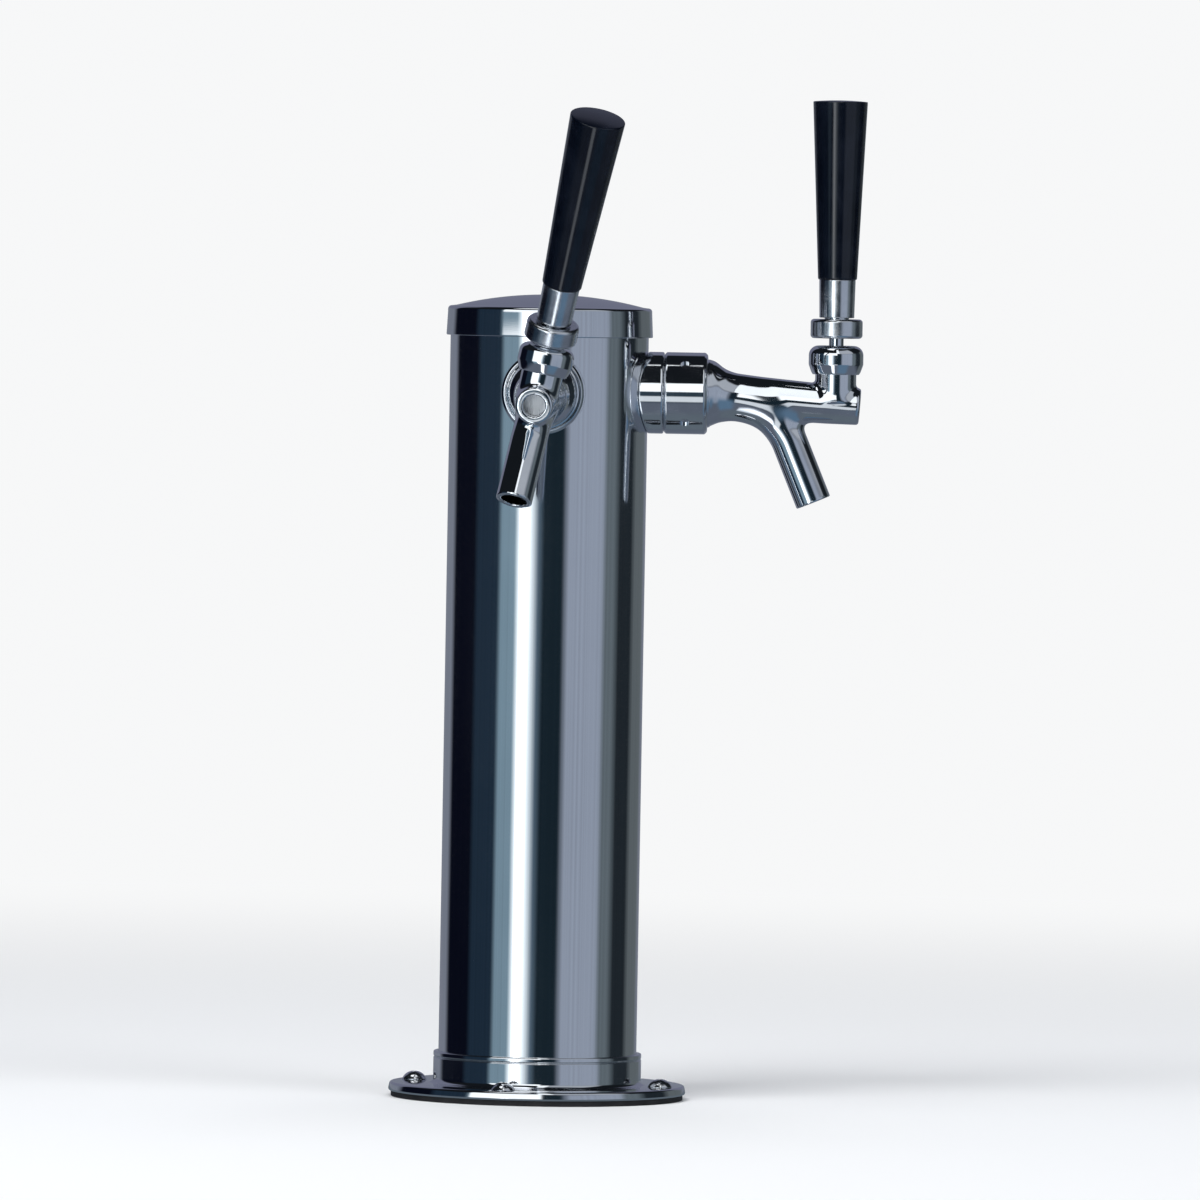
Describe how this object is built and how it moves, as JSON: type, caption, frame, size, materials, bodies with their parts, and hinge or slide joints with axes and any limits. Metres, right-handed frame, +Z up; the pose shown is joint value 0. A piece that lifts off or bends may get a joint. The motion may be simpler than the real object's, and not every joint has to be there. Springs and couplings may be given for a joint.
{
  "type": "beer tap tower",
  "caption": "Polished steel draft beer tower: round column on a screwed flange, domed cap, and chromed lever faucets set at right angles with tapered black handles.",
  "frame": {"origin": "centre of the base gasket's underside, on the column's axis, at the counter face", "axes": "+Z up the column; -Y is the front, midway between the two faucets; +X to the right seen from the front"},
  "size_m": [0.1859, 0.1848, 0.3995],
  "materials": {
    "polished_steel": "mirror-polished stainless steel",
    "chrome": "bright chrome plate over cast brass",
    "screw_steel": "plain stainless screw",
    "line_steel": "drawn stainless tube",
    "cast_zinc": "plain light-alloy casting",
    "brass": "machined brass",
    "rubber": "matt black gasket rubber",
    "seal_rubber": "black seal rubber",
    "nylon": "plain nylon",
    "foam": "open foam insulation",
    "black_grip": "glossy black moulded plastic"
  },
  "bodies": {
    "tower": {"base_gasket": "rubber", "base_flange": "polished_steel", "mounting_screws": "screw_steel", "column": "polished_steel", "cap": "polished_steel", "top_insulation": "foam", "insulation_sleeve": "foam", "left_shank": "chrome", "left_shank_collar": "chrome", "left_inner_spacer": "cast_zinc", "left_locknut": "brass", "left_coupling_nut": "chrome", "left_slip_washer": "brass", "left_faucet_washer": "seal_rubber", "left_tail_washer": "seal_rubber", "left_tail_nut": "brass", "left_tailpiece": "brass", "left_beer_line": "line_steel", "left_line_barb": "brass", "left_faucet_body": "chrome", "left_ball_washer": "nylon", "left_friction_washer": "seal_rubber", "left_bonnet": "chrome", "right_shank": "chrome", "right_shank_collar": "chrome", "right_inner_spacer": "cast_zinc", "right_locknut": "brass", "right_coupling_nut": "chrome", "right_slip_washer": "brass", "right_faucet_washer": "seal_rubber", "right_tail_washer": "seal_rubber", "right_tail_nut": "brass", "right_tailpiece": "brass", "right_beer_line": "line_steel", "right_line_barb": "brass", "right_faucet_body": "chrome", "right_ball_washer": "nylon", "right_friction_washer": "seal_rubber", "right_bonnet": "chrome"},
    "left_valve": {"left_plunger": "line_steel", "left_seat_washer": "seal_rubber", "left_seat_screw": "brass"},
    "left_lever": {"left_lever": "chrome", "left_lever_collar": "chrome", "left_handle_ferrule": "chrome", "left_handle_insert": "brass", "left_handle_grip": "black_grip"},
    "right_valve": {"right_plunger": "line_steel", "right_seat_washer": "seal_rubber", "right_seat_screw": "brass"},
    "right_lever": {"right_lever": "chrome", "right_lever_collar": "chrome", "right_handle_ferrule": "chrome", "right_handle_insert": "brass", "right_handle_grip": "black_grip"}
  },
  "joints": [
    {"name": "left_lever_pull", "type": "hinge", "parent": "tower", "child": "left_lever", "pos_m": [-0.07616, -0.07969, 0.28374], "axis": [0.6917, -0.6917, -0.2079], "range_deg": [-20, 4]},
    {"name": "left_valve_slide", "type": "slide", "parent": "tower", "child": "left_valve", "axis": [0.7156, 0.6951, 0.0682], "range_m": [-0.0053, 0.0011]},
    {"name": "right_lever_pull", "type": "hinge", "parent": "tower", "child": "right_lever", "pos_m": [0.07792, -0.07792, 0.284], "axis": [0.7071, 0.7071, 0], "range_deg": [0, 24]},
    {"name": "right_valve_slide", "type": "slide", "parent": "tower", "child": "right_valve", "axis": [-0.7054, 0.7054, 0.0698], "range_m": [0, 0.0064]}
  ],
  "couplings": [
    {"joint": "left_valve_slide", "follows": "left_lever_pull", "m_per_rad": 0.0151},
    {"joint": "right_valve_slide", "follows": "right_lever_pull", "m_per_rad": 0.0151}
  ]
}
